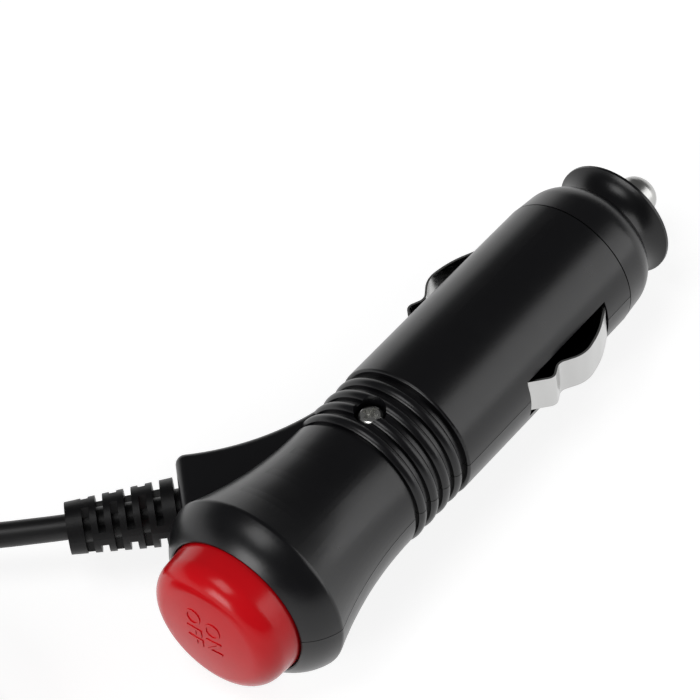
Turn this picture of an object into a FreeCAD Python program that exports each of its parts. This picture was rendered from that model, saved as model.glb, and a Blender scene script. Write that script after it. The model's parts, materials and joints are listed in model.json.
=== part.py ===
import FreeCAD, Part
import math
import os

V = FreeCAD.Vector

# Everything is in millimetres. The plug's own axis is x, from the rim of the grip towards the nose,
# y points to the side with the cord and z is square to the joint between the two half shells.

# Whole length, from the button's crown to the tip
OVERALL_LENGTH = 95.6

# Grip: bezel round the button, bell, ribs
RIM_R = 13.5
BEZEL_DEPTH = 4.4
BEZEL_R = 10.5
BEZEL_BULGE = 0.5
RIM_ROUND = 0.9
OPENING_R = 10.3
LIP = 1.6
BELL_LENGTH = 19.4
BELL_END_R = 10.05
RIB_COUNT = 4
RIB_PITCH = 2.5
RIB_WIDTH = 1.5
RIB_R = 10.3
RIB_CROWN = 0.4
GROOVE_R = 9.5

# Barrel and its threaded spigot
BARREL_R = 10.4
BARREL_END_R = 10.32
BARREL_EDGE = 0.4
STRAIGHT_LENGTH = 13.1
SPIGOT_R = 7.6
SPIGOT_LENGTH = 4.9
WALL = 1.8
RIB_WALL = 1.3
BULKHEAD = 1.6
PARTING_GAP = 0.1

# Nose cap and centre contact
CAP_GAP = 0.2
CAP_THREAD_GAP = 0.15
CAP_LENGTH = 11.0
CAP_END_R = 9.98
CAP_STRAIGHT = 3.0
CAP_STEP = 0.04
SHOULDER_BULGE = 0.7
NECK_R = 7.1
COLLAR_R = 8.73
COLLAR_FLARE = 3.0
COLLAR_EDGE = 0.4
COLLAR_SAG = 0.47
COLLAR_DISH_R = 5.3
TIP_R = 2.9
TIP_LENGTH = 7.2
TIP_ROUND = 1.9
TIP_FLAT_R = 0.5
TIP_FLANGE_R = 4.3
TIP_FLANGE = 1.2
TIP_NUB_R = 2.0
TIP_NUB = 0.5
TIP_TRAVEL = 3.0
RUNNING_GAP = 0.1

# Fuse, its tube, spring and rear terminal
FUSE_R = 3.0
TUBE_FROM_SCREW = 6.95
FUSE_PROUD = 0.3
FUSE_CAP_LENGTH = 6.0
FUSE_CAP_WALL = 0.2
GLASS_WALL = 0.6
FUSE_WIRE_R = 0.15
FUSE_BORE_R = 3.3
TUBE_WALL = 1.1
SPRING_LENGTH = 8.0
SPRING_WIRE_R = 0.3
SPRING_R = 2.4
SPRING_TURNS = 5
TERMINAL_THICK = 0.6
TAB_WIDTH = 2.0
TAB_THICK = 0.4
TAB_LENGTH = 3.0
TUBE_WEB = 1.2

# Side contacts
SLOT_LENGTH = 17.5
SLOT_WIDTH = 6.2
SLOT_TO_SEAM = 5.1
STRIP_WIDTH = 5.2
STRIP_THICK = 0.3
STRIP_CLEARANCE = 0.35
# Its bends: distance from its rear, height over the barrel's wall, radius
STRIP_BENDS = [(0, -0.9, 0.5), (2.8, 1.75, 1.2), (5.2, 0.6, 1.3), (8.4, 2.7, 4.3), (12.8, 1.9, 14.0)]
STRIP_FRONT_BEND = (-0.1, 0.8)
TUCK_BEND = 0.5
TAIL_LENGTH = 1.9

# Button and latching switch
BUTTON_R = 10.05
BUTTON_TOP_R = 9.7
BUTTON_HEIGHT = 6.2
BUTTON_CROWN_R = 48.0
BUTTON_FLAT_R = 1.0
BUTTON_EDGE = 3.2
BUTTON_WALL = 1.8
BUTTON_TOP_WALL = 2.1
BUTTON_FLANGE_R = 11.0
BUTTON_FLANGE = 1.2
BUTTON_TRAVEL = 2.6
STEM_R = 3.2
STEM_REACH = 2.4
PLUNGER_R = 1.5
PLUNGER_SOCKET = 5.0
PLUNGER_ENGAGED = 3.0
SWITCH_SIDE = 8.5
SWITCH_GAP = 0.05
SWITCH_WEB = 1.2
SWITCH_WEB_WIDTH = 8.8
SWITCH_TAB_SPACING = 4.4
SWITCH_TAB_LENGTH = 4.0
SWITCH_TAB_THICK = 0.5

# Screw that joins the shells
SCREW_FROM_BELL = 5.05
SCREW_R = 1.15
SCREW_BITE = 0.15
SCREW_HEAD_R = 1.75
SCREW_HEAD = 1.3
SCREW_LENGTH = 14.4
SCREW_RECESS_R = 2.1
SCREW_SEAT_Z = 7.9
SCREW_BOSS_R = 3.0
CROSS_WIDTH = 0.7
CROSS_LENGTH = 2.2
CROSS_DEPTH = 0.9

# Cord boss and strain relief, on an axis that leans back towards the button
BOSS_ANGLE = 135.0
BOSS_AXIS_OFFSET = 14.3
BOSS_END = 8.2
BOSS_HALF_WIDTH = 5.1
BOSS_HALF_HEIGHT = 5.6
BOSS_ROUND = 1.3
BOSS_WALL = 1.2
BOSS_ROOT_X = 26.5
BOSS_ROOT_Y = 8.6
BOSS_SAG = 1.7
RELIEF_FLANGE = 1.5
RELIEF_NECK_R = 2.9
RELIEF_NECK_GAP = 0.7
RELIEF_LENGTH = 14.1
RELIEF_BIG_R = 4.4
RELIEF_SMALL_R = 3.4
RELIEF_RING = 1.7
RELIEF_ROWS = 6
RELIEF_PITCH = 1.86
RELIEF_SLOT = 1.0
RELIEF_CORE_R = 1.95
RELIEF_BRIDGE = 2.0
RELIEF_TURN = 13.0
RELIEF_MOUTH = 0.2
FIT_GAP = 0.1

# Cord, its coil and the plug on its far end
CORD_R = 1.7
CORD_STRAIGHT = 5.0
LEAD_R = 0.65
LEAD_BEND_R = 2.0
LEAD_SPACING = 1.8
LEAD_CLEAR = 0.3
LEAD_LIFT = 0.4
LEAD_TURN = 4.0
COIL_CENTRE = (-51.8, 29.4)
COIL_MEAN_R = 17.0
COIL_COLUMNS = 4
COIL_LAYERS = 2
COIL_PITCH = 3.5
TIE_ANGLE = 120.0
TIE_WIDTH = 4.0
TIE_THICK = 0.45
TIE_GAP = 0.03
DC_RELIEF_LENGTH = 5.0
DC_RELIEF_R = 2.5
DC_RELIEF_ROOT_R = 3.1
DC_BODY_R = 4.6
DC_BODY_LENGTH = 12.0
DC_BODY_ROUND = 1.2
DC_SLEEVE_R = 2.75
DC_SLEEVE_WALL = 0.3
DC_SLEEVE_LENGTH = 9.5
DC_CENTRE_R = 1.05
DC_CENTRE_WALL = 0.3
DC_DEPTH = 3.0

# Least distance that tells two edges apart, and the share of a run that one bend may take
NEAR = 0.01
BEND_SHARE = 0.45

# How it lies: the rim and the end of the barrel touch the table, and the cord side is rolled down
ROLL = 8.9

# Stations that follow from the sizes above
BELL_SWEEP_R = (BELL_LENGTH ** 2 + (RIM_R - BELL_END_R) ** 2) / (2 * (RIM_R - BELL_END_R))
RIBS_END = BELL_LENGTH + RIB_COUNT * RIB_PITCH + RIB_PITCH - RIB_WIDTH
SEAM = OVERALL_LENGTH - BUTTON_HEIGHT - BEZEL_DEPTH - CAP_GAP - CAP_LENGTH - TIP_LENGTH
SCREW_X = BELL_LENGTH + SCREW_FROM_BELL
SPIGOT_END = SEAM + SPIGOT_LENGTH
SLOT_END = SEAM - SLOT_TO_SEAM
SLOT_START = SLOT_END - SLOT_LENGTH
BARREL_IN_R = BARREL_R - WALL
RIBS_IN_R = GROOVE_R - RIB_WALL
TUBE_R = FUSE_BORE_R + TUBE_WALL
FUSE_FRONT = SPIGOT_END + FUSE_PROUD
TUBE_START = SCREW_X + TUBE_FROM_SCREW
TUBE_END = FUSE_FRONT - TIP_TRAVEL - 2 * STRIP_CLEARANCE
SPRING_REAR = TUBE_START + BULKHEAD + TERMINAL_THICK + RUNNING_GAP
FUSE_REAR = SPRING_REAR + SPRING_LENGTH + RUNNING_GAP
BULKHEAD_START = SLOT_END + TAIL_LENGTH + STRIP_CLEARANCE
SPIGOT_HOLLOW = BULKHEAD_START + BULKHEAD
SPIGOT_IN_R = SPIGOT_R - RIB_WALL - RIB_CROWN
LIP_X = LIP - BEZEL_DEPTH
FLANGE_X = LIP_X + FIT_GAP
BUTTON_SKIRT_X = FLANGE_X + BUTTON_FLANGE
POCKET_R = BUTTON_FLANGE_R + STRIP_CLEARANCE
POCKET_END = BUTTON_SKIRT_X + BUTTON_TRAVEL + STRIP_CLEARANCE
STEM_END = BUTTON_SKIRT_X + STEM_REACH
SWITCH_WEB_X = STEM_END + BUTTON_TRAVEL + 2 * FIT_GAP
SWITCH_X = SWITCH_WEB_X + SWITCH_WEB
SWITCH_END = SWITCH_X + SWITCH_SIDE
RELIEF_END = BOSS_END + RELIEF_NECK_GAP + RELIEF_LENGTH
RELIEF_START = BOSS_END - BOSS_WALL - FIT_GAP - RELIEF_FLANGE
RELIEF_FLANGE_R = BOSS_HALF_WIDTH - BOSS_WALL - FIT_GAP
PITCH = math.degrees(math.atan2(RIM_R - BARREL_END_R, SEAM))
AXIS_HEIGHT = RIM_R * math.cos(math.radians(PITCH))

# The cord's points on the table, from the strain relief to the coil and from the coil to the plug
CORD_TO_COIL = [(-23.97, 47.56, 6.81), (-48.36, 51.38, 5.71)]
CORD_TO_PLUG = [(-74.0, 29.4, 2.3), (-74.1, 20.6, 2.9), (-72.8, 11.8, 4.65)]


def flat(point):
    return V(point[0], point[1], 0)


def outline(start, *steps):
    """Closed face in the x-y plane. A step is a point, or a pair: a point on an arc and the arc's end."""
    edges = []
    here = start
    for step in steps + (start,):
        if isinstance(step[0], tuple):
            through, there = step
            edges.append(Part.Arc(flat(here), flat(through), flat(there)).toShape())
        else:
            there = step
            edges.append(Part.LineSegment(flat(here), flat(there)).toShape())
        here = there
    return Part.Face(Part.Wire(edges))


def bowed(start, end, bulge):
    """Middle point of an arc that bulges out to the left of the way from start to end."""
    run = math.hypot(end[0] - start[0], end[1] - start[1])
    return (
        (start[0] + end[0]) / 2 - bulge * (end[1] - start[1]) / run,
        (start[1] + end[1]) / 2 + bulge * (end[0] - start[0]) / run,
    )


def arc_middle(centre, start, end):
    """Middle of the shorter arc from start to end about centre."""
    to_start = (start[0] - centre[0], start[1] - centre[1])
    to_end = (end[0] - centre[0], end[1] - centre[1])
    sum_x = to_start[0] + to_end[0]
    sum_y = to_start[1] + to_end[1]
    share = math.hypot(*to_start) / math.hypot(sum_x, sum_y)
    return (centre[0] + sum_x * share, centre[1] + sum_y * share)


def turned(face):
    return face.revolve(V(0, 0, 0), V(1, 0, 0), 360)


def rod(radius, x0, x1, inner=0.0):
    """Round bar along the x axis, or a tube where inner is given."""
    bar = Part.makeCylinder(radius, x1 - x0, V(x0, 0, 0), V(1, 0, 0))
    if inner:
        bar = bar.cut(Part.makeCylinder(inner, x1 - x0 + 2, V(x0 - 1, 0, 0), V(1, 0, 0)))
    return bar


def block(x0, x1, y0, y1, z0, z1):
    return Part.makeBox(x1 - x0, y1 - y0, z1 - z0, V(x0, y0, z0))


def rounded_wire(points, wanted=None):
    """Straight runs joined by tangent arcs, each arc of the radius wanted or as large as its runs allow."""
    points = [V(*p) for p in points]
    wanted = wanted or [None] * (len(points) - 2)
    edges = []
    radii = []
    here = points[0]
    for before, corner, after, radius in zip(points, points[1:], points[2:], wanted):
        to_before = (before - corner).normalize()
        to_after = (after - corner).normalize()
        half_turn = (math.pi - to_before.getAngle(to_after)) / 2
        reach = BEND_SHARE * min((before - corner).Length, (after - corner).Length)
        if radius:
            reach = min(reach, radius * math.tan(half_turn))
        bend = reach / math.tan(half_turn)
        inward = (to_before + to_after).normalize()
        middle = corner + inward * (bend / math.cos(half_turn) - bend)
        first = corner + to_before * reach
        last = corner + to_after * reach
        edges.append(Part.LineSegment(here, first).toShape())
        edges.append(Part.Arc(first, middle, last).toShape())
        radii.append(round(bend, 1))
        here = last
    edges.append(Part.LineSegment(here, points[-1]).toShape())
    return Part.Wire(edges), radii


def round_tube(points, radius, bend=None):
    """Round bar along a rounded wire. Also gives the wire's length and its bend radii."""
    wire, radii = rounded_wire(points, bend and [bend] * (len(points) - 2))
    start = V(*points[0])
    direction = V(*points[1]) - start
    section = Part.Wire(Part.makeCircle(radius, start, direction))
    tube = wire.makePipeShell([section], True, False)
    return tube, wire.Length, radii


def bell_radius(x):
    """Outside of the bell at station x: an arc that meets the ribs along the axis."""
    return BELL_END_R + BELL_SWEEP_R - math.sqrt(BELL_SWEEP_R ** 2 - (BELL_LENGTH - x) ** 2)


def rim_arcs():
    """Centres and ends of the three arcs in a row at the rim: the bezel's, the rounded rim's, the bell's."""
    chord = math.hypot(BEZEL_DEPTH, RIM_R - BEZEL_R)
    bezel_arc_r = (chord ** 2 / 4 + BEZEL_BULGE ** 2) / (2 * BEZEL_BULGE)
    bezel_centre = bowed((-BEZEL_DEPTH, BEZEL_R), (0, RIM_R), BEZEL_BULGE - bezel_arc_r)
    bell_centre = (BELL_LENGTH, BELL_END_R + BELL_SWEEP_R)
    near = bezel_arc_r - RIM_ROUND
    far = BELL_SWEEP_R + RIM_ROUND
    apart_x = bell_centre[0] - bezel_centre[0]
    apart_y = bell_centre[1] - bezel_centre[1]
    apart = math.hypot(apart_x, apart_y)
    along = (near ** 2 - far ** 2 + apart ** 2) / (2 * apart)
    off = math.sqrt(near ** 2 - along ** 2)
    rim_centre = (
        bezel_centre[0] + (apart_x * along - apart_y * off) / apart,
        bezel_centre[1] + (apart_y * along + apart_x * off) / apart,
    )
    start_share = bezel_arc_r / near
    end_share = BELL_SWEEP_R / far
    rim_start = tuple(c + (r - c) * start_share for c, r in zip(bezel_centre, rim_centre))
    rim_end = tuple(c + (r - c) * end_share for c, r in zip(bell_centre, rim_centre))
    return bezel_centre, rim_start, rim_centre, rim_end, bell_centre


def rib_steps():
    """Outline steps of the round-topped ribs, from the bell's end to the barrel."""
    steps = [(BELL_LENGTH, GROOVE_R)]
    for index in range(RIB_COUNT):
        left = BELL_LENGTH + RIB_PITCH - RIB_WIDTH + index * RIB_PITCH
        right = left + RIB_WIDTH
        shoulder = RIB_R - RIB_CROWN
        steps += [
            (left, GROOVE_R),
            (left, shoulder),
            (((left + right) / 2, RIB_R), (right, shoulder)),
            (right, GROOVE_R),
        ]
    return steps + [(RIBS_END, GROOVE_R)]


def grip_and_barrel():
    """Outer form of both shells together, solid."""
    bezel = (-BEZEL_DEPTH, BEZEL_R)
    bell = (BELL_LENGTH, BELL_END_R)
    bezel_centre, rim_start, rim_centre, rim_end, bell_centre = rim_arcs()
    edge_mid = BARREL_EDGE * (1 - math.sqrt(0.5))
    return turned(outline(
        (-BEZEL_DEPTH, 0),
        bezel,
        (arc_middle(bezel_centre, bezel, rim_start), rim_start),
        (arc_middle(rim_centre, rim_start, rim_end), rim_end),
        (arc_middle(bell_centre, rim_end, bell), bell),
        *rib_steps(),
        (RIBS_END, BARREL_R - BARREL_EDGE),
        ((RIBS_END + edge_mid, BARREL_R - edge_mid), (RIBS_END + BARREL_EDGE, BARREL_R)),
        (RIBS_END + STRAIGHT_LENGTH, BARREL_R),
        (SEAM, BARREL_END_R),
        (SEAM, SPIGOT_R),
        (SPIGOT_END, SPIGOT_R),
        (SPIGOT_END, 0),
    ))


def in_plan(along, across):
    """Point of the plug's x-y plane from a distance along the cord boss's axis and one across it."""
    angle = math.radians(BOSS_ANGLE)
    return (
        along * math.cos(angle) + across * math.sin(angle),
        along * math.sin(angle) - across * math.cos(angle),
    )


def on_boss_axis(shape):
    """Turns a shape made along x on to the cord boss's axis."""
    centre = in_plan(0, BOSS_AXIS_OFFSET)
    shape.rotate(V(0, 0, 0), V(0, 0, 1), BOSS_ANGLE)
    shape.translate(V(centre[0], centre[1], 0))
    return shape


def cord_boss():
    """Horn that sweeps out of the ribs into the cord's direction, with its outer edges rounded."""
    outer = BOSS_AXIS_OFFSET + BOSS_HALF_WIDTH
    inner = BOSS_AXIS_OFFSET - BOSS_HALF_WIDTH
    root = (BOSS_ROOT_X, BOSS_ROOT_Y)
    shoulder = in_plan(BOSS_END - BOSS_ROUND, outer)
    nick = BOSS_ROUND * (1 - math.sqrt(0.5))
    plan = outline(
        root,
        (bowed(root, shoulder, BOSS_SAG), shoulder),
        (in_plan(BOSS_END - nick, outer - nick), in_plan(BOSS_END, outer - BOSS_ROUND)),
        in_plan(BOSS_END, inner),
        in_plan(0, inner),
        (BOSS_ROOT_X, BOSS_ROOT_Y - BOSS_HALF_WIDTH),
    )
    plan.translate(V(0, 0, -BOSS_HALF_HEIGHT))
    horn = plan.extrude(V(0, 0, 2 * BOSS_HALF_HEIGHT))
    shown = []
    for edge in horn.Edges:
        middle = edge.valueAt((edge.FirstParameter + edge.LastParameter) / 2)
        level = abs(abs(middle.z) - BOSS_HALF_HEIGHT) < NEAR
        across = (middle.x + middle.y) / math.sqrt(2)
        along = (middle.y - middle.x) / math.sqrt(2)
        curved = edge.Curve.TypeId == "Part::GeomCircle"
        if level and (curved or along > BOSS_END - NEAR) and across > inner:
            shown.append(edge)
    return horn.makeFillet(BOSS_ROUND, shown)


def shell_hollow():
    """Room inside the shells: button pocket, switch room, barrel, spigot and cord passage."""
    mid = (POCKET_END + BELL_LENGTH) / 2
    room = turned(outline(
        (-BEZEL_DEPTH - 1, 0),
        (-BEZEL_DEPTH - 1, OPENING_R),
        (LIP_X, OPENING_R),
        (LIP_X, POCKET_R),
        (POCKET_END, POCKET_R),
        (POCKET_END, bell_radius(POCKET_END) - WALL),
        ((mid, bell_radius(mid) - WALL), (BELL_LENGTH, RIBS_IN_R)),
        (RIBS_END, RIBS_IN_R),
        (RIBS_END + BARREL_EDGE, BARREL_IN_R),
        (BULKHEAD_START, BARREL_IN_R),
        (BULKHEAD_START, 0),
    ))
    half = BOSS_HALF_WIDTH - BOSS_WALL
    tall = BOSS_HALF_HEIGHT - BOSS_WALL
    passage = on_boss_axis(block(-BOSS_HALF_WIDTH, BOSS_END - BOSS_WALL, -half, half, -tall, tall))
    return room.fuse([rod(SPIGOT_IN_R, SPIGOT_HOLLOW, SPIGOT_END + 1), passage])


def shell_inserts():
    """Fuse tube, its web, the switch webs and the screw boss, before they are bored."""
    tall = RIM_R
    half = SWITCH_WEB_WIDTH / 2
    pieces = [rod(TUBE_R, TUBE_START, TUBE_END)]
    pieces.append(block(TUBE_START, BULKHEAD_START + 1, -TUBE_WEB / 2, TUBE_WEB / 2, -tall, tall))
    middle = (SWITCH_X + SWITCH_END - SWITCH_WEB) / 2
    for x in (SWITCH_WEB_X, middle, SWITCH_END):
        pieces.append(block(x, x + SWITCH_WEB, -half, half, -tall, tall))
    pieces.append(Part.makeCylinder(SCREW_BOSS_R, 2 * tall, V(SCREW_X, 0, -tall)))
    return pieces


def shell_cuts():
    """Bores, slots and seats that go through the shells and their inserts."""
    cuts = [rod(FUSE_BORE_R, TUBE_START + BULKHEAD, SPIGOT_END + 1)]
    side = SWITCH_SIDE / 2 + SWITCH_GAP
    cuts.append(block(SWITCH_X, SWITCH_END, -side, side, -side, side))
    cuts.append(rod(PLUNGER_R + FIT_GAP, SWITCH_WEB_X - 1, SWITCH_X + 1))
    cuts.append(rod(SWITCH_TAB_SPACING, SWITCH_END - 1, SWITCH_END + SWITCH_WEB + 1))
    tab_y = TAB_THICK / 2 + FIT_GAP
    tab_z = TAB_WIDTH / 2 + FIT_GAP
    cuts.append(block(TUBE_START - 1, TUBE_START + BULKHEAD + 1, -tab_y, tab_y, -tab_z, tab_z))
    for side_y in (-BARREL_R - 1, TUBE_R + FIT_GAP):
        far_y = side_y + BARREL_R + 1 - TUBE_R - FIT_GAP
        cuts.append(block(SLOT_START, SLOT_END, side_y, far_y, -SLOT_WIDTH / 2, SLOT_WIDTH / 2))
    cuts.append(Part.makeCylinder(SCREW_RECESS_R, RIM_R, V(SCREW_X, 0, SCREW_SEAT_Z)))
    cuts.append(Part.makeCylinder(SCREW_R + FIT_GAP, RIM_R, V(SCREW_X, 0, 0)))
    depth = SCREW_LENGTH - SCREW_SEAT_Z + FIT_GAP
    cuts.append(Part.makeCylinder(SCREW_R - SCREW_BITE, depth, V(SCREW_X, 0, -depth)))
    cuts.append(on_boss_axis(rod(RELIEF_NECK_R + FIT_GAP, BOSS_END - BOSS_WALL - 1, BOSS_END + 1)))
    return cuts


def half_shells():
    """Upper and lower shell, parted at z = 0."""
    form = grip_and_barrel().fuse(cord_boss())
    walls = form.cut(shell_hollow())
    inserts = [piece.common(form) for piece in shell_inserts()]
    shell = walls.fuse(inserts).cut(shell_cuts())
    far = 4 * RIM_R
    gap = PARTING_GAP / 2
    upper = shell.common(block(-far, SEAM + far, -far, far, gap, far))
    lower = shell.common(block(-far, SEAM + far, -far, far, -far, -gap))
    return upper.removeSplitter(), lower.removeSplitter()


def housing_screw():
    """Pan-head screw with a cross recess, down through both shells."""
    top = SCREW_SEAT_Z + SCREW_HEAD
    head = Part.makeCylinder(SCREW_HEAD_R, SCREW_HEAD, V(SCREW_X, 0, SCREW_SEAT_Z))
    rim = [e for e in head.Edges if abs(e.BoundBox.ZMin - top) < NEAR]
    head = head.makeFillet(SCREW_HEAD / 2, rim)
    shank = Part.makeCylinder(SCREW_R, SCREW_LENGTH, V(SCREW_X, 0, SCREW_SEAT_Z - SCREW_LENGTH))
    cross = []
    for along, across in ((CROSS_LENGTH, CROSS_WIDTH), (CROSS_WIDTH, CROSS_LENGTH)):
        cross.append(block(
            SCREW_X - along / 2, SCREW_X + along / 2, -across / 2, across / 2, top - CROSS_DEPTH, top + 1))
    return head.fuse(shank).cut(cross).removeSplitter()


def nose_cap():
    """Screw cap that holds the fuse in, with a rounded shoulder, a neck and a flared collar."""
    rear = SEAM + CAP_GAP
    end = rear + CAP_LENGTH
    flare = end - COLLAR_FLARE - COLLAR_EDGE
    shoulder = rear + CAP_STRAIGHT
    bore = SPIGOT_R + CAP_THREAD_GAP
    seat = FUSE_FRONT + 2 * RUNNING_GAP + TIP_FLANGE + TIP_NUB
    neck = (flare, NECK_R)
    lip = (end - COLLAR_EDGE, COLLAR_R)
    return turned(outline(
        (rear, bore),
        (rear, BARREL_END_R - CAP_STEP),
        (shoulder, CAP_END_R),
        (bowed((shoulder, CAP_END_R), neck, SHOULDER_BULGE), neck),
        (bowed(neck, lip, -COLLAR_SAG), lip),
        (end, COLLAR_R),
        (end - COLLAR_EDGE, COLLAR_R - COLLAR_EDGE),
        (end - 2 * COLLAR_EDGE, COLLAR_DISH_R),
        (end - 2 * COLLAR_EDGE, TIP_R + RUNNING_GAP),
        (seat, TIP_R + RUNNING_GAP),
        (seat, TIP_FLANGE_R + 3 * RUNNING_GAP),
        (FUSE_FRONT, TIP_FLANGE_R + 3 * RUNNING_GAP),
        (FUSE_FRONT, bore),
    ))


def tip_contact():
    """Centre contact: a round-ended pin with a flange behind the cap's seat and a nub on the fuse."""
    seat = FUSE_FRONT + RUNNING_GAP + TIP_FLANGE + TIP_NUB
    end = SEAM + CAP_GAP + CAP_LENGTH + TIP_LENGTH
    flange = seat - TIP_FLANGE
    nick = 1 - math.sqrt(0.5)
    dome_mid = (end - TIP_ROUND * nick, TIP_FLAT_R + (TIP_R - TIP_FLAT_R) * (1 - nick))
    return turned(outline(
        (FUSE_FRONT + RUNNING_GAP, 0),
        (FUSE_FRONT + RUNNING_GAP, TIP_NUB_R),
        (flange, TIP_NUB_R),
        (flange, TIP_FLANGE_R),
        (seat, TIP_FLANGE_R),
        (seat, TIP_R),
        (end - TIP_ROUND, TIP_R),
        (dome_mid, (end, TIP_FLAT_R)),
        (end, 0),
    ))


def fuse_pieces():
    """Glass fuse: tube, two end caps and the wire between them."""
    glass_r = FUSE_R - FUSE_CAP_WALL
    wall = 2 * FUSE_CAP_WALL
    glass = rod(glass_r, FUSE_REAR + wall, FUSE_FRONT - wall, glass_r - GLASS_WALL)
    front = rod(FUSE_R, FUSE_FRONT - FUSE_CAP_LENGTH, FUSE_FRONT)
    front = front.cut(rod(glass_r, FUSE_FRONT - FUSE_CAP_LENGTH - 1, FUSE_FRONT - wall))
    rear = rod(FUSE_R, FUSE_REAR, FUSE_REAR + FUSE_CAP_LENGTH)
    rear = rear.cut(rod(glass_r, FUSE_REAR + wall, FUSE_REAR + FUSE_CAP_LENGTH + 1))
    wire = rod(FUSE_WIRE_R, FUSE_REAR + wall, FUSE_FRONT - wall)
    return {"fuse_glass": glass, "fuse_cap_front": front, "fuse_cap_rear": rear, "fuse_element": wire}


def fuse_spring():
    """Coil spring that pushes the fuse against the centre contact."""
    height = SPRING_LENGTH - 2 * SPRING_WIRE_R
    helix = Part.makeHelix(height / SPRING_TURNS, height, SPRING_R)
    section = Part.Wire(Part.makeCircle(SPRING_WIRE_R, V(SPRING_R, 0, 0), V(0, 1, 0)))
    spring = Part.Wire(helix).makePipeShell([section], True, True)
    spring.rotate(V(0, 0, 0), V(0, 1, 0), 90)
    spring.translate(V(SPRING_REAR + SPRING_WIRE_R, 0, 0))
    return spring


def fuse_terminal():
    """Rear terminal: a disc under the spring with a solder tab through the tube's end."""
    front = SPRING_REAR - RUNNING_GAP
    disc = rod(FUSE_BORE_R - FIT_GAP, front - TERMINAL_THICK, front)
    half = TAB_WIDTH / 2
    tab = block(TUBE_START - TAB_LENGTH, front - TERMINAL_THICK, -TAB_THICK / 2, TAB_THICK / 2, -half, half)
    return disc.fuse(tab).removeSplitter()


def side_contact(side):
    """Sprung strip with two bumps, its ends tucked under the barrel's wall. side is 1 or -1."""
    tuck = math.sqrt(BARREL_IN_R ** 2 - (STRIP_WIDTH / 2) ** 2) - STRIP_CLEARANCE
    rear = SLOT_START + STRIP_CLEARANCE
    front = SLOT_END - STRIP_CLEARANCE
    corners = [(rear, tuck, TUCK_BEND)]
    corners += [(rear + along, BARREL_R + up, radius) for along, up, radius in STRIP_BENDS]
    corners += [(front, BARREL_R + STRIP_FRONT_BEND[0], STRIP_FRONT_BEND[1]), (front, tuck, TUCK_BEND)]
    points = [(rear - TAIL_LENGTH, tuck, 0)]
    points += [(x, y, 0) for x, y, _ in corners]
    points.append((front + TAIL_LENGTH, tuck, 0))
    wire, _ = rounded_wire(points, [radius for _, _, radius in corners])
    strip = wire.makeOffset2D(-STRIP_THICK, 0, True, True)
    if strip.BoundBox.YMax > wire.BoundBox.YMax + NEAR:
        strip = wire.makeOffset2D(STRIP_THICK, 0, True, True)
    strip = strip.extrude(V(0, 0, STRIP_WIDTH))
    strip.translate(V(0, 0, -STRIP_WIDTH / 2))
    if side < 0:
        strip.rotate(V(0, 0, 0), V(1, 0, 0), 180)
    return strip


def push_button():
    """Domed button with a skirt, a retaining flange behind the bezel and a stem for the plunger."""
    crown = -BEZEL_DEPTH - BUTTON_HEIGHT
    sag = BUTTON_CROWN_R - math.sqrt(BUTTON_CROWN_R ** 2 - BUTTON_TOP_R ** 2)
    crown_mid = BUTTON_CROWN_R - math.sqrt(BUTTON_CROWN_R ** 2 - (BUTTON_TOP_R / 2) ** 2)
    body = turned(outline(
        (crown, 0),
        (crown, BUTTON_FLAT_R),
        ((crown + crown_mid, BUTTON_TOP_R / 2), (crown + sag, BUTTON_TOP_R)),
        (-BEZEL_DEPTH, BUTTON_R),
        (FLANGE_X, BUTTON_R),
        (FLANGE_X, BUTTON_FLANGE_R),
        (BUTTON_SKIRT_X, BUTTON_FLANGE_R),
        (BUTTON_SKIRT_X, 0),
    ))
    top = [e for e in body.Edges if abs(e.BoundBox.XMax - crown - sag) < NEAR and e.BoundBox.YMax > STEM_R]
    body = body.makeFillet(BUTTON_EDGE, top)
    ceiling = crown + BUTTON_TOP_WALL
    room = turned(outline(
        (ceiling, STEM_R),
        (ceiling, BUTTON_TOP_R - BUTTON_EDGE),
        (ceiling + BUTTON_WALL, BUTTON_TOP_R - BUTTON_WALL),
        (BUTTON_SKIRT_X + 1, BUTTON_R - BUTTON_WALL),
        (BUTTON_SKIRT_X + 1, STEM_R),
    ))
    stem = rod(STEM_R, BUTTON_SKIRT_X - 1, STEM_END)
    socket = rod(PLUNGER_R, STEM_END - PLUNGER_SOCKET, STEM_END + 1)
    return body.cut(room).fuse(stem).cut(socket).removeSplitter()


def switch_pieces():
    """Latching switch: body, plunger and its two solder tabs."""
    half = SWITCH_SIDE / 2
    body = block(SWITCH_X, SWITCH_END, -half, half, -half, half)
    depth = SWITCH_X + PLUNGER_ENGAGED + BUTTON_TRAVEL + FIT_GAP
    body = body.cut(rod(PLUNGER_R + FIT_GAP, SWITCH_X - 1, depth))
    plunger = rod(PLUNGER_R, STEM_END - PLUNGER_SOCKET, SWITCH_X + PLUNGER_ENGAGED)
    made = {"switch_body": body, "switch_plunger": plunger}
    for name, side in (("switch_tab_cord", 1), ("switch_tab_fuse", -1)):
        y = side * SWITCH_TAB_SPACING / 2
        made[name] = block(
            SWITCH_END, SWITCH_END + SWITCH_TAB_LENGTH,
            y - SWITCH_TAB_THICK / 2, y + SWITCH_TAB_THICK / 2, -TAB_WIDTH / 2, TAB_WIDTH / 2)
    return made


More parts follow.
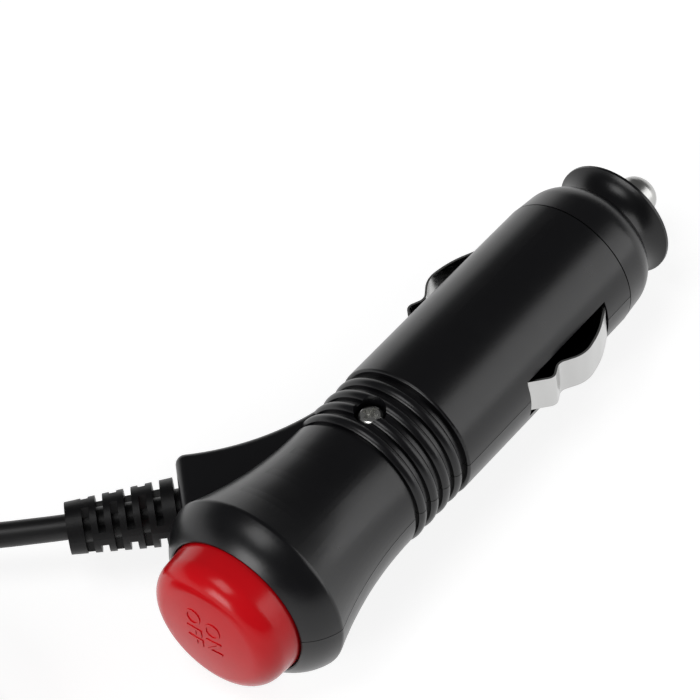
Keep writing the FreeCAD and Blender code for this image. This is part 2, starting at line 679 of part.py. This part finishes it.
def leads():
    """Insulated wires inside the shells, from the cord to the switch, the fuse and the side contacts."""
    up = LEAD_SPACING / 2
    cord = in_plan(RELIEF_START - FIT_GAP, BOSS_AXIS_OFFSET)
    bend = in_plan(-LEAD_TURN, BOSS_AXIS_OFFSET)
    tab_x = SWITCH_END + SWITCH_TAB_LENGTH
    tab_y = SWITCH_TAB_SPACING / 2
    beside = SCREW_BOSS_R + LEAD_R + 4 * LEAD_CLEAR
    tail_x = SLOT_START + STRIP_CLEARANCE - TAIL_LENGTH - STRIP_CLEARANCE
    tail_y = (TUBE_R + BARREL_IN_R) / 2
    fuse_tab_x = TUBE_START - TAB_LENGTH
    clear = LEAD_R + LEAD_CLEAR
    cross_x = TUBE_START - clear - FIT_GAP
    return {
        "lead_cord_to_switch": [
            (cord[0], cord[1], up),
            (bend[0], bend[1], up),
            (tab_x - 2 * LEAD_CLEAR, tab_y + SWITCH_TAB_THICK / 2 + clear, up),
        ],
        "lead_switch_to_fuse": [
            (tab_x + 2 * LEAD_CLEAR, -tab_y, LEAD_LIFT),
            (tab_x + LEAD_BEND_R, -beside, LEAD_LIFT),
            (SCREW_X + SCREW_BOSS_R, -beside, LEAD_LIFT),
            (fuse_tab_x + TAB_LENGTH / 2, -TAB_THICK / 2 - clear, LEAD_LIFT),
        ],
        "lead_earth": [
            (cord[0], cord[1], -up),
            (bend[0], bend[1], -up),
            (SCREW_X - 2 * LEAD_BEND_R, tail_y, -up),
            (tail_x, tail_y, -up),
        ],
        "earth_link": [
            (tail_x, tail_y, up),
            (TUBE_START, tail_y, up),
            (cross_x, tail_y - LEAD_BEND_R, TUBE_R),
            (cross_x, LEAD_BEND_R - tail_y, TUBE_R),
            (TUBE_START, -tail_y, up),
            (tail_x, -tail_y, up),
        ],
    }


def strain_relief():
    """Moulded sleeve with staggered slots, held in the boss by a neck and a flange."""
    start = BOSS_END + RELIEF_NECK_GAP
    wide = 2 * RELIEF_BIG_R
    thin = RELIEF_BRIDGE / 2
    body = turned(outline(
        (RELIEF_START, CORD_R),
        (RELIEF_START, RELIEF_FLANGE_R),
        (RELIEF_START + RELIEF_FLANGE, RELIEF_FLANGE_R),
        (RELIEF_START + RELIEF_FLANGE, RELIEF_NECK_R),
        (start, RELIEF_NECK_R),
        (start, RELIEF_BIG_R),
        (RELIEF_END, RELIEF_SMALL_R),
        (RELIEF_END, CORD_R + RELIEF_MOUTH),
    ))
    slots = []
    for row in range(RELIEF_ROWS):
        near = start + RELIEF_RING + row * RELIEF_PITCH
        ring = rod(wide, near, near + RELIEF_SLOT, RELIEF_CORE_R + RELIEF_MOUTH)
        if row % 2:
            bridge = block(near - 1, near + 2, -thin, thin, -wide, wide)
        else:
            bridge = block(near - 1, near + 2, -wide, wide, -thin, thin)
        slots.append(ring.cut(bridge))
    sleeve = body.cut(slots)
    sleeve.rotate(V(0, 0, 0), V(1, 0, 0), RELIEF_TURN)
    return on_boss_axis(sleeve)


def cord_coil():
    """Outer form of the tied coil, lying on its tie."""
    half = (COIL_COLUMNS - 1) / 2 * COIL_PITCH + CORD_R
    height = (COIL_LAYERS - 1) * COIL_PITCH + 2 * CORD_R
    centre = V(COIL_CENTRE[0], COIL_CENTRE[1], TIE_THICK + 2 * TIE_GAP)
    outer = Part.makeCylinder(COIL_MEAN_R + half, height, centre)
    return outer.cut(Part.makeCylinder(COIL_MEAN_R - half, height, centre))


def coil_tie():
    """Flat tie round the bundle of turns."""
    half = (COIL_COLUMNS - 1) / 2 * COIL_PITCH + CORD_R + TIE_GAP
    height = (COIL_LAYERS - 1) * COIL_PITCH + 2 * CORD_R + 2 * TIE_GAP
    low = TIE_GAP + TIE_THICK
    inside = math.sqrt((COIL_MEAN_R - half) ** 2 - (TIE_WIDTH / 2) ** 2)
    outside = COIL_MEAN_R + half
    hoop = block(
        inside - TIE_THICK, outside + TIE_THICK,
        -TIE_WIDTH / 2, TIE_WIDTH / 2, TIE_GAP, low + height + TIE_THICK)
    hoop = hoop.cut(block(inside, outside, -TIE_WIDTH, TIE_WIDTH, low, low + height))
    hoop.rotate(V(0, 0, 0), V(0, 0, 1), TIE_ANGLE)
    hoop.translate(V(COIL_CENTRE[0], COIL_CENTRE[1], 0))
    return hoop


def far_plug():
    """Round power plug on the far end: moulded body, outer sleeve, insulator and centre contact."""
    shoulder = DC_RELIEF_LENGTH
    front = shoulder + DC_BODY_LENGTH
    nick = DC_BODY_ROUND * (1 - math.sqrt(0.5))
    sleeve_in = DC_SLEEVE_R - DC_SLEEVE_WALL
    body = turned(outline(
        (0, 0),
        (0, DC_RELIEF_R),
        (shoulder, DC_RELIEF_ROOT_R),
        (shoulder, DC_BODY_R - DC_BODY_ROUND),
        ((shoulder + nick, DC_BODY_R - nick), (shoulder + DC_BODY_ROUND, DC_BODY_R)),
        (front - DC_BODY_ROUND, DC_BODY_R),
        ((front - nick, DC_BODY_R - nick), (front, DC_BODY_R - DC_BODY_ROUND)),
        (front, sleeve_in),
        (front - DC_DEPTH, sleeve_in),
        (front - DC_DEPTH, 0),
    ))
    end = front + DC_SLEEVE_LENGTH
    centre_r = DC_CENTRE_R + DC_CENTRE_WALL
    made = {
        "dc_plug_body": body,
        "dc_plug_sleeve": rod(DC_SLEEVE_R, front, end, sleeve_in),
        "dc_plug_insulator": rod(sleeve_in, front - DC_DEPTH, end - DC_CENTRE_WALL, centre_r),
        "dc_plug_centre": rod(centre_r, front - DC_DEPTH, end - 2 * DC_CENTRE_WALL, DC_CENTRE_R),
    }
    rear = V(*CORD_TO_PLUG[-1])
    run = rear - V(*CORD_TO_PLUG[-2])
    turn = math.degrees(math.atan2(run.y, run.x))
    back = V(run.x, run.y, 0).normalize() * CORD_R
    for shape in made.values():
        shape.rotate(V(0, 0, 0), V(0, 0, 1), turn)
        shape.translate(rear - back)
    return made


def plug_pieces():
    """Every piece of the plug itself, in the plug's own frame."""
    upper, lower = half_shells()
    made = {
        "upper_shell": upper,
        "lower_shell": lower,
        "housing_screw": housing_screw(),
        "nose_cap": nose_cap(),
        "tip_contact": tip_contact(),
        "fuse_spring": fuse_spring(),
        "fuse_terminal": fuse_terminal(),
        "side_contact_left": side_contact(1),
        "side_contact_right": side_contact(-1),
        "push_button": push_button(),
        "strain_relief": strain_relief(),
    }
    made.update(fuse_pieces())
    made.update(switch_pieces())
    for name, points in leads().items():
        made[name] = round_tube(points, LEAD_R, LEAD_BEND_R)[0]
    return made


# The plug as it lies: rolled about its axis, then pitched on to its rim and the end of its barrel
lie = FreeCAD.Placement(V(0, 0, AXIS_HEIGHT), FreeCAD.Rotation(V(0, 1, 0), PITCH)).multiply(
    FreeCAD.Placement(V(0, 0, 0), FreeCAD.Rotation(V(1, 0, 0), -ROLL)))
pieces = plug_pieces()
for shape in pieces.values():
    shape.transformShape(lie.toMatrix())

# Origin under the middle of the plug
box = FreeCAD.BoundBox()
for shape in pieces.values():
    box.add(shape.optimalBoundingBox(False, False))
origin = V((box.XMin + box.XMax) / 2, (box.YMin + box.YMax) / 2, box.ZMin)

# The cord, from inside its strain relief to the far plug
inner_end = in_plan(RELIEF_START, BOSS_AXIS_OFFSET)
outer_end = in_plan(RELIEF_END + CORD_STRAIGHT, BOSS_AXIS_OFFSET)
exit_points = [tuple(lie.multVec(V(x, y, 0))) for x, y in (inner_end, outer_end)]
runs = {"cord_run": exit_points + CORD_TO_COIL, "cord_tail": CORD_TO_PLUG}
for name, points in runs.items():
    tube, length, radii = round_tube(points, CORD_R)
    share = tube.Volume / (math.pi * CORD_R ** 2 * length)
    print(name, "length", round(length, 1), "bend radii", radii, "volume share", round(share, 4))
    print(name, "points", [tuple(round(c, 2) for c in V(*p) - origin) for p in points])
    pieces[name] = tube
pieces["cord_coil"] = cord_coil()
pieces["coil_tie"] = coil_tie()
pieces.update(far_plug())

os.makedirs("parts", exist_ok=True)
for name, shape in pieces.items():
    shape.translate(V(0, 0, 0) - origin)
    shape.exportStep("parts/" + name + ".step")
    valid = "valid" if shape.isValid() else "NOT VALID"
    print(name, valid, "solids", len(shape.Solids), "volume", round(shape.Volume, 2))
print("origin in the lying frame", tuple(round(c, 3) for c in origin))
for label, x in (("rim", 0), ("barrel start", RIBS_END), ("seam", SEAM)):
    print(label, tuple(round(c, 4) for c in lie.multVec(V(x, 0, 0)) - origin))
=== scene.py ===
import json
import math

import bpy
from mathutils import Matrix, Vector


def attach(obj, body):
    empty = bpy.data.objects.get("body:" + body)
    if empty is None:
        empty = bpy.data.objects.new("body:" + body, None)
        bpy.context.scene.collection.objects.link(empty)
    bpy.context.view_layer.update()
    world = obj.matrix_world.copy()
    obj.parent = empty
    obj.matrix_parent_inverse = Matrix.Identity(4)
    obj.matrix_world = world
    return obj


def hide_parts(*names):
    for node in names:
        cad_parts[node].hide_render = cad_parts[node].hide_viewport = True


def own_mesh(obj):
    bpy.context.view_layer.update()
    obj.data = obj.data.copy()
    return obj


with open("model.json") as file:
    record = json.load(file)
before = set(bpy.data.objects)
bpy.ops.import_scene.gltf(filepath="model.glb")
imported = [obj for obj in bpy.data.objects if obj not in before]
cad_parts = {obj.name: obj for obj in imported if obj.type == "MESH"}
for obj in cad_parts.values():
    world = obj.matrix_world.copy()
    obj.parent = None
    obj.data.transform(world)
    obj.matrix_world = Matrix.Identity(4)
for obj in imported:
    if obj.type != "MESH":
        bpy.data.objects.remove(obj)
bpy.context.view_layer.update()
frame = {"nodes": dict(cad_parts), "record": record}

nodes = frame["nodes"]

# Camera at the photograph's view, metres in the row frame
CAMERA_AT = (-0.22967, -0.17061, 0.40192)
CAMERA_TARGET = (0.00079, 0.00725, 0.01)
LENS_MM = 190.0
SENSOR_MM = 36.0
CLIP_START = 0.01

# Cord: its points outside the coil, and the coil between them
CORD_R = 0.0017
CURVE_STEPS = 6
CORD_TO_COIL = [
    (-0.03097, 0.00625, 0.01103), (-0.04705, 0.02204, 0.00932),
    (-0.06112, 0.04004, 0.00681), (-0.08551, 0.04386, 0.00571)]
CORD_TO_PLUG = [(-0.11115, 0.02188, 0.0023), (-0.11125, 0.01308, 0.0029), (-0.10995, 0.00428, 0.00465)]
COIL_CENTRE = (-0.08895, 0.02188)
COIL_MEAN_R = 0.0170
COIL_PITCH = 0.0035
COIL_COLUMNS = 4
COIL_LOW = 0.00221
COIL_START_DEG = 81.1
COIL_END_DEG = 180.0
STEP_DEG = 15.0
SHIFT_DEG = 90.0

# The plug's own frame as it lies: x along its axis from the rim, y to the cord's side
PLUG_AT = (-0.037152, -0.007515, 0.0134846)
PLUG_PITCH_DEG = 2.734
PLUG_ROLL_DEG = 8.9
LIE = Matrix.Translation(PLUG_AT) @ Matrix.Rotation(math.radians(PLUG_PITCH_DEG), 4, "Y") @ Matrix.Rotation(
    math.radians(-PLUG_ROLL_DEG), 4, "X")

# Raised lettering on the button's crown
CROWN_X = -0.0106
CROWN_R = 0.048
LETTER_SIZE = 0.0034
LETTER_RISE = 0.00013
LETTER_ROOT = 0.00012
LETTER_GAP = 1.12
LETTER_DRAFT = 0.5
LETTER_LINES = [("ON", -0.0003, 0.0036), ("OFF", 0.0027, 0.0045)]

# Depth of a material's fine grain
GRAIN_DEPTH = 0.00005

# Floor, far wall and the dim surround
FLOOR_SIZE = 4.0
FLOOR_DIFFUSE = 0.45
FLOOR_GLOW = 0.82
BACKDROP_R = 1.9
BACKDROP_HEIGHT = 0.30
BACKDROP_SIDES = 96
FILL = 0.10

# Soft lamps: name, place, size and power, all aimed at one point
LAMP_TARGET = (0.0, 0.0, 0.01)
LAMPS = [
    ("above", (-0.25, 0.12, 0.64), 0.31, 1.1),
    ("right", (0.42, -0.53, 0.32), 0.55, 1.95),
    ("front", (-0.68, 0.12, 0.25), 0.30, 1.75)]


def principled(name, colour, rough, metallic=0.0, spread=0.12, scale=400.0, grain=0.0, grain_scale=5000.0,
               stretch=(1.0, 1.0, 1.0), specular=0.5, transmission=0.0, ior=1.45):
    """Material with a slight play of colour and gloss, and a fine grain where it has one."""
    mat = bpy.data.materials.new(name)
    mat.use_nodes = True
    tree = mat.node_tree
    shader = tree.nodes["Principled BSDF"]
    shader.inputs["Metallic"].default_value = metallic
    shader.inputs["Specular IOR Level"].default_value = specular
    shader.inputs["Transmission Weight"].default_value = transmission
    shader.inputs["IOR"].default_value = ior
    place = tree.nodes.new("ShaderNodeTexCoord")
    mapping = tree.nodes.new("ShaderNodeMapping")
    mapping.inputs["Scale"].default_value = stretch
    tree.links.new(place.outputs["Object"], mapping.inputs["Vector"])
    cloud = tree.nodes.new("ShaderNodeTexNoise")
    cloud.inputs["Scale"].default_value = scale
    cloud.inputs["Detail"].default_value = 4.0
    tree.links.new(mapping.outputs["Vector"], cloud.inputs["Vector"])
    tint = tree.nodes.new("ShaderNodeMix")
    tint.data_type = "RGBA"
    tint.inputs["A"].default_value = (*[c * (1 - spread) for c in colour], 1.0)
    tint.inputs["B"].default_value = (*[min(1.0, c * (1 + spread)) for c in colour], 1.0)
    tree.links.new(cloud.outputs["Fac"], tint.inputs["Factor"])
    tree.links.new(tint.outputs["Result"], shader.inputs["Base Color"])
    gloss = tree.nodes.new("ShaderNodeMapRange")
    gloss.inputs["To Min"].default_value = rough * (1 - spread)
    gloss.inputs["To Max"].default_value = rough * (1 + spread)
    tree.links.new(cloud.outputs["Fac"], gloss.inputs["Value"])
    tree.links.new(gloss.outputs["Result"], shader.inputs["Roughness"])
    if grain:
        fine = tree.nodes.new("ShaderNodeTexNoise")
        fine.inputs["Scale"].default_value = grain_scale
        fine.inputs["Detail"].default_value = 2.0
        tree.links.new(mapping.outputs["Vector"], fine.inputs["Vector"])
        bump = tree.nodes.new("ShaderNodeBump")
        bump.inputs["Strength"].default_value = grain
        bump.inputs["Distance"].default_value = GRAIN_DEPTH
        tree.links.new(fine.outputs["Fac"], bump.inputs["Height"])
        tree.links.new(bump.outputs["Normal"], shader.inputs["Normal"])
    return mat


MATERIALS = {
    "shell_black": principled("shell_black", (0.0050, 0.0050, 0.0062), 0.29, grain=0.12, grain_scale=6000.0),
    "button_red": principled("button_red", (0.80, 0.005, 0.011), 0.21, specular=0.36, grain=0.03, spread=0.05),
    "relief_black": principled("relief_black", (0.0045, 0.0045, 0.0050), 0.42, specular=0.28, grain=0.4,
                               grain_scale=4500.0),
    "cord_black": principled("cord_black", (0.0075, 0.0075, 0.008), 0.40, grain=0.15),
    "spring_steel": principled("spring_steel", (0.54, 0.54, 0.535), 0.21, metallic=1.0, spread=0.12,
                               grain=0.10, stretch=(1.0, 0.15, 0.15)),
    "nickel": principled("nickel", (0.50, 0.50, 0.49), 0.33, metallic=1.0, spread=0.10, grain=0.05),
    "screw_steel": principled("screw_steel", (0.74, 0.74, 0.72), 0.22, metallic=1.0, spread=0.15, grain=0.04),
    "fuse_glass": principled("fuse_glass", (0.92, 0.96, 0.94), 0.05, transmission=0.95, ior=1.5, spread=0.02),
    "fuse_wire": principled("fuse_wire", (0.60, 0.58, 0.54), 0.35, metallic=1.0),
    "brass": principled("brass", (0.72, 0.55, 0.26), 0.28, metallic=1.0),
    "switch_plastic": principled("switch_plastic", (0.05, 0.06, 0.10), 0.35),
    "plunger_white": principled("plunger_white", (0.80, 0.80, 0.78), 0.45, spread=0.04),
    "lead_red": principled("lead_red", (0.50, 0.03, 0.03), 0.45),
    "lead_black": principled("lead_black", (0.03, 0.03, 0.03), 0.45),
    "tie_black": principled("tie_black", (0.02, 0.02, 0.021), 0.42, grain=0.15),
    "insulator": principled("insulator", (0.03, 0.03, 0.03), 0.45, grain=0.1),
}
for part in frame["record"]["subparts"]:
    mesh = nodes[part["node"]].data
    mesh.materials.clear()
    mesh.materials.append(MATERIALS[part["material_slot"]])


def smooth_step(share):
    """Share from 0 to 1, eased at both ends."""
    return share * share * (3 - 2 * share)


def coil_points():
    """Turns of the coil, from the outside in along the top layer, then from the inside out along the lower one."""
    outer = COIL_MEAN_R + (COIL_COLUMNS - 1) / 2 * COIL_PITCH
    inner = COIL_MEAN_R - (COIL_COLUMNS - 1) / 2 * COIL_PITCH
    high = COIL_LOW + COIL_PITCH
    bulge = 1 / math.cos(math.radians(STEP_DEG / 2))
    points = []
    top_end = COIL_START_DEG + 360 * COIL_COLUMNS
    low_turns = COIL_COLUMNS - 1
    low_end = top_end - COIL_START_DEG + 360 * low_turns + COIL_END_DEG
    angle = COIL_START_DEG + STEP_DEG
    while angle < low_end - STEP_DEG / 2:
        turn = (angle - COIL_START_DEG) / 360
        if angle < top_end:
            done = int(turn)
            share = smooth_step(max(0.0, (turn - done) * 360 - 360 + SHIFT_DEG) / SHIFT_DEG)
            if done < COIL_COLUMNS - 1:
                radius, height = outer - COIL_PITCH * (done + share), high
            else:
                radius, height = inner, high - COIL_PITCH * share
        else:
            along = turn - COIL_COLUMNS + SHIFT_DEG / 360
            done = int(along)
            share = smooth_step(max(0.0, (along - done) * 360 - 360 + SHIFT_DEG) / SHIFT_DEG)
            radius, height = min(outer, inner + COIL_PITCH * (done + share)), COIL_LOW
        points.append((
            COIL_CENTRE[0] + radius * bulge * math.cos(math.radians(angle)),
            COIL_CENTRE[1] + radius * bulge * math.sin(math.radians(angle)),
            height))
        angle += STEP_DEG
    return points


def cord_curve(name, points):
    """Round cord along the points."""
    curve = bpy.data.curves.new(name, "CURVE")
    curve.dimensions = "3D"
    curve.bevel_depth = CORD_R
    curve.bevel_resolution = CURVE_STEPS
    curve.resolution_u = CURVE_STEPS
    curve.use_fill_caps = True
    spline = curve.splines.new("NURBS")
    spline.points.add(len(points) - 1)
    for point, at in zip(spline.points, points):
        point.co = (*at, 1.0)
    spline.order_u = 3
    spline.use_endpoint_u = True
    obj = bpy.data.objects.new(name, curve)
    bpy.context.scene.collection.objects.link(obj)
    obj.data.materials.append(MATERIALS["cord_black"])
    return obj


cord = cord_curve("cord", CORD_TO_COIL + coil_points() + CORD_TO_PLUG)
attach(cord, "housing")
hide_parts("cord_run", "cord_coil", "cord_tail")

# The spring as an object of its own with its own copy of the mesh, on the housing, in place of the solid one
solid_spring = nodes["fuse_spring"]
spring = bpy.data.objects.new("spring", solid_spring.data.copy())
spring.matrix_world = solid_spring.matrix_world
bpy.context.scene.collection.objects.link(spring)
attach(spring, "housing")
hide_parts("fuse_spring")
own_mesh(spring)


def crown_letters(name, text, base_y, start_z):
    """Raised word on the domed crown, read towards the table, on the plug's own axes."""
    curve = bpy.data.curves.new(name, "FONT")
    curve.body = text
    curve.size = LETTER_SIZE
    curve.space_character = LETTER_GAP
    curve.resolution_u = CURVE_STEPS
    curve.extrude = LETTER_DRAFT
    draft = bpy.data.objects.new(name + "_draft", curve)
    bpy.context.scene.collection.objects.link(draft)
    mesh = bpy.data.meshes.new_from_object(draft.evaluated_get(bpy.context.evaluated_depsgraph_get()))
    bpy.data.objects.remove(draft)
    for vertex in mesh.vertices:
        along, up, out = vertex.co
        y = base_y - up
        z = start_z - along
        x = CROWN_X + CROWN_R - math.sqrt(CROWN_R ** 2 - y * y - z * z)
        x += -LETTER_RISE if out > 0 else LETTER_ROOT
        vertex.co = LIE @ Vector((x, y, z))
    obj = bpy.data.objects.new(name, mesh)
    bpy.context.scene.collection.objects.link(obj)
    mesh.materials.clear()
    mesh.materials.append(MATERIALS["button_red"])
    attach(obj, "button")


for word, base_y, start_z in LETTER_LINES:
    crown_letters("letters_" + word.lower(), word, base_y, start_z)

# Plain pale floor that reads white, with the plug's soft shadow on it, and a low far wall for flat views
bpy.ops.mesh.primitive_plane_add(size=FLOOR_SIZE, location=(0, 0, 0))
floor = bpy.context.object
floor.name = "floor"
floor_mat = bpy.data.materials.new("floor")
floor_mat.use_nodes = True
tree = floor_mat.node_tree
tree.nodes.clear()
out = tree.nodes.new("ShaderNodeOutputMaterial")
diffuse = tree.nodes.new("ShaderNodeBsdfDiffuse")
diffuse.inputs["Color"].default_value = (FLOOR_DIFFUSE, FLOOR_DIFFUSE, FLOOR_DIFFUSE, 1.0)
glow = tree.nodes.new("ShaderNodeEmission")
glow.inputs["Strength"].default_value = FLOOR_GLOW
dark = tree.nodes.new("ShaderNodeEmission")
dark.inputs["Strength"].default_value = 0.0
seen = tree.nodes.new("ShaderNodeLightPath")
seen_or_mirrored = tree.nodes.new("ShaderNodeMath")
seen_or_mirrored.operation = "MAXIMUM"
tree.links.new(seen.outputs["Is Camera Ray"], seen_or_mirrored.inputs[0])
tree.links.new(seen.outputs["Is Glossy Ray"], seen_or_mirrored.inputs[1])
through_too = tree.nodes.new("ShaderNodeMath")
through_too.operation = "MAXIMUM"
tree.links.new(seen_or_mirrored.outputs["Value"], through_too.inputs[0])
tree.links.new(seen.outputs["Is Transmission Ray"], through_too.inputs[1])
choose = tree.nodes.new("ShaderNodeMixShader")
tree.links.new(through_too.outputs["Value"], choose.inputs["Fac"])
tree.links.new(dark.outputs["Emission"], choose.inputs[1])
tree.links.new(glow.outputs["Emission"], choose.inputs[2])
both = tree.nodes.new("ShaderNodeAddShader")
tree.links.new(diffuse.outputs["BSDF"], both.inputs[0])
tree.links.new(choose.outputs["Shader"], both.inputs[1])
tree.links.new(both.outputs["Shader"], out.inputs["Surface"])
floor.data.materials.append(floor_mat)
bpy.ops.mesh.primitive_cylinder_add(
    vertices=BACKDROP_SIDES, radius=BACKDROP_R, depth=BACKDROP_HEIGHT, end_fill_type="NOTHING",
    location=(0, 0, BACKDROP_HEIGHT / 2))
backdrop = bpy.context.object
backdrop.name = "backdrop"
backdrop.data.materials.append(floor_mat)


def softbox(name, at, target, size, power):
    """Square area lamp aimed at a point."""
    lamp = bpy.data.lights.new(name, "AREA")
    lamp.shape = "SQUARE"
    lamp.size = size
    lamp.energy = power
    obj = bpy.data.objects.new(name, lamp)
    obj.location = at
    obj.rotation_euler = (Vector(target) - Vector(at)).to_track_quat("-Z", "Y").to_euler()
    bpy.context.scene.collection.objects.link(obj)


for lamp_name, lamp_at, lamp_size, lamp_power in LAMPS:
    softbox(lamp_name, lamp_at, LAMP_TARGET, lamp_size, lamp_power)

# Dim surround for the light
world = bpy.data.worlds.new("studio")
bpy.context.scene.world = world
world.use_nodes = True
tree = world.node_tree
tree.nodes["Background"].inputs["Strength"].default_value = FILL
tree.nodes["Background"].inputs["Color"].default_value = (1.0, 1.0, 1.0, 1.0)

camera_data = bpy.data.cameras.new("camera")
camera_data.lens = LENS_MM
camera_data.sensor_width = SENSOR_MM
camera_data.clip_start = CLIP_START
camera = bpy.data.objects.new("camera", camera_data)
camera.location = CAMERA_AT
camera.rotation_euler = (Vector(CAMERA_TARGET) - Vector(CAMERA_AT)).to_track_quat("-Z", "Y").to_euler()
bpy.context.scene.collection.objects.link(camera)
bpy.context.scene.camera = camera
bpy.context.scene.view_settings.view_transform = "Standard"
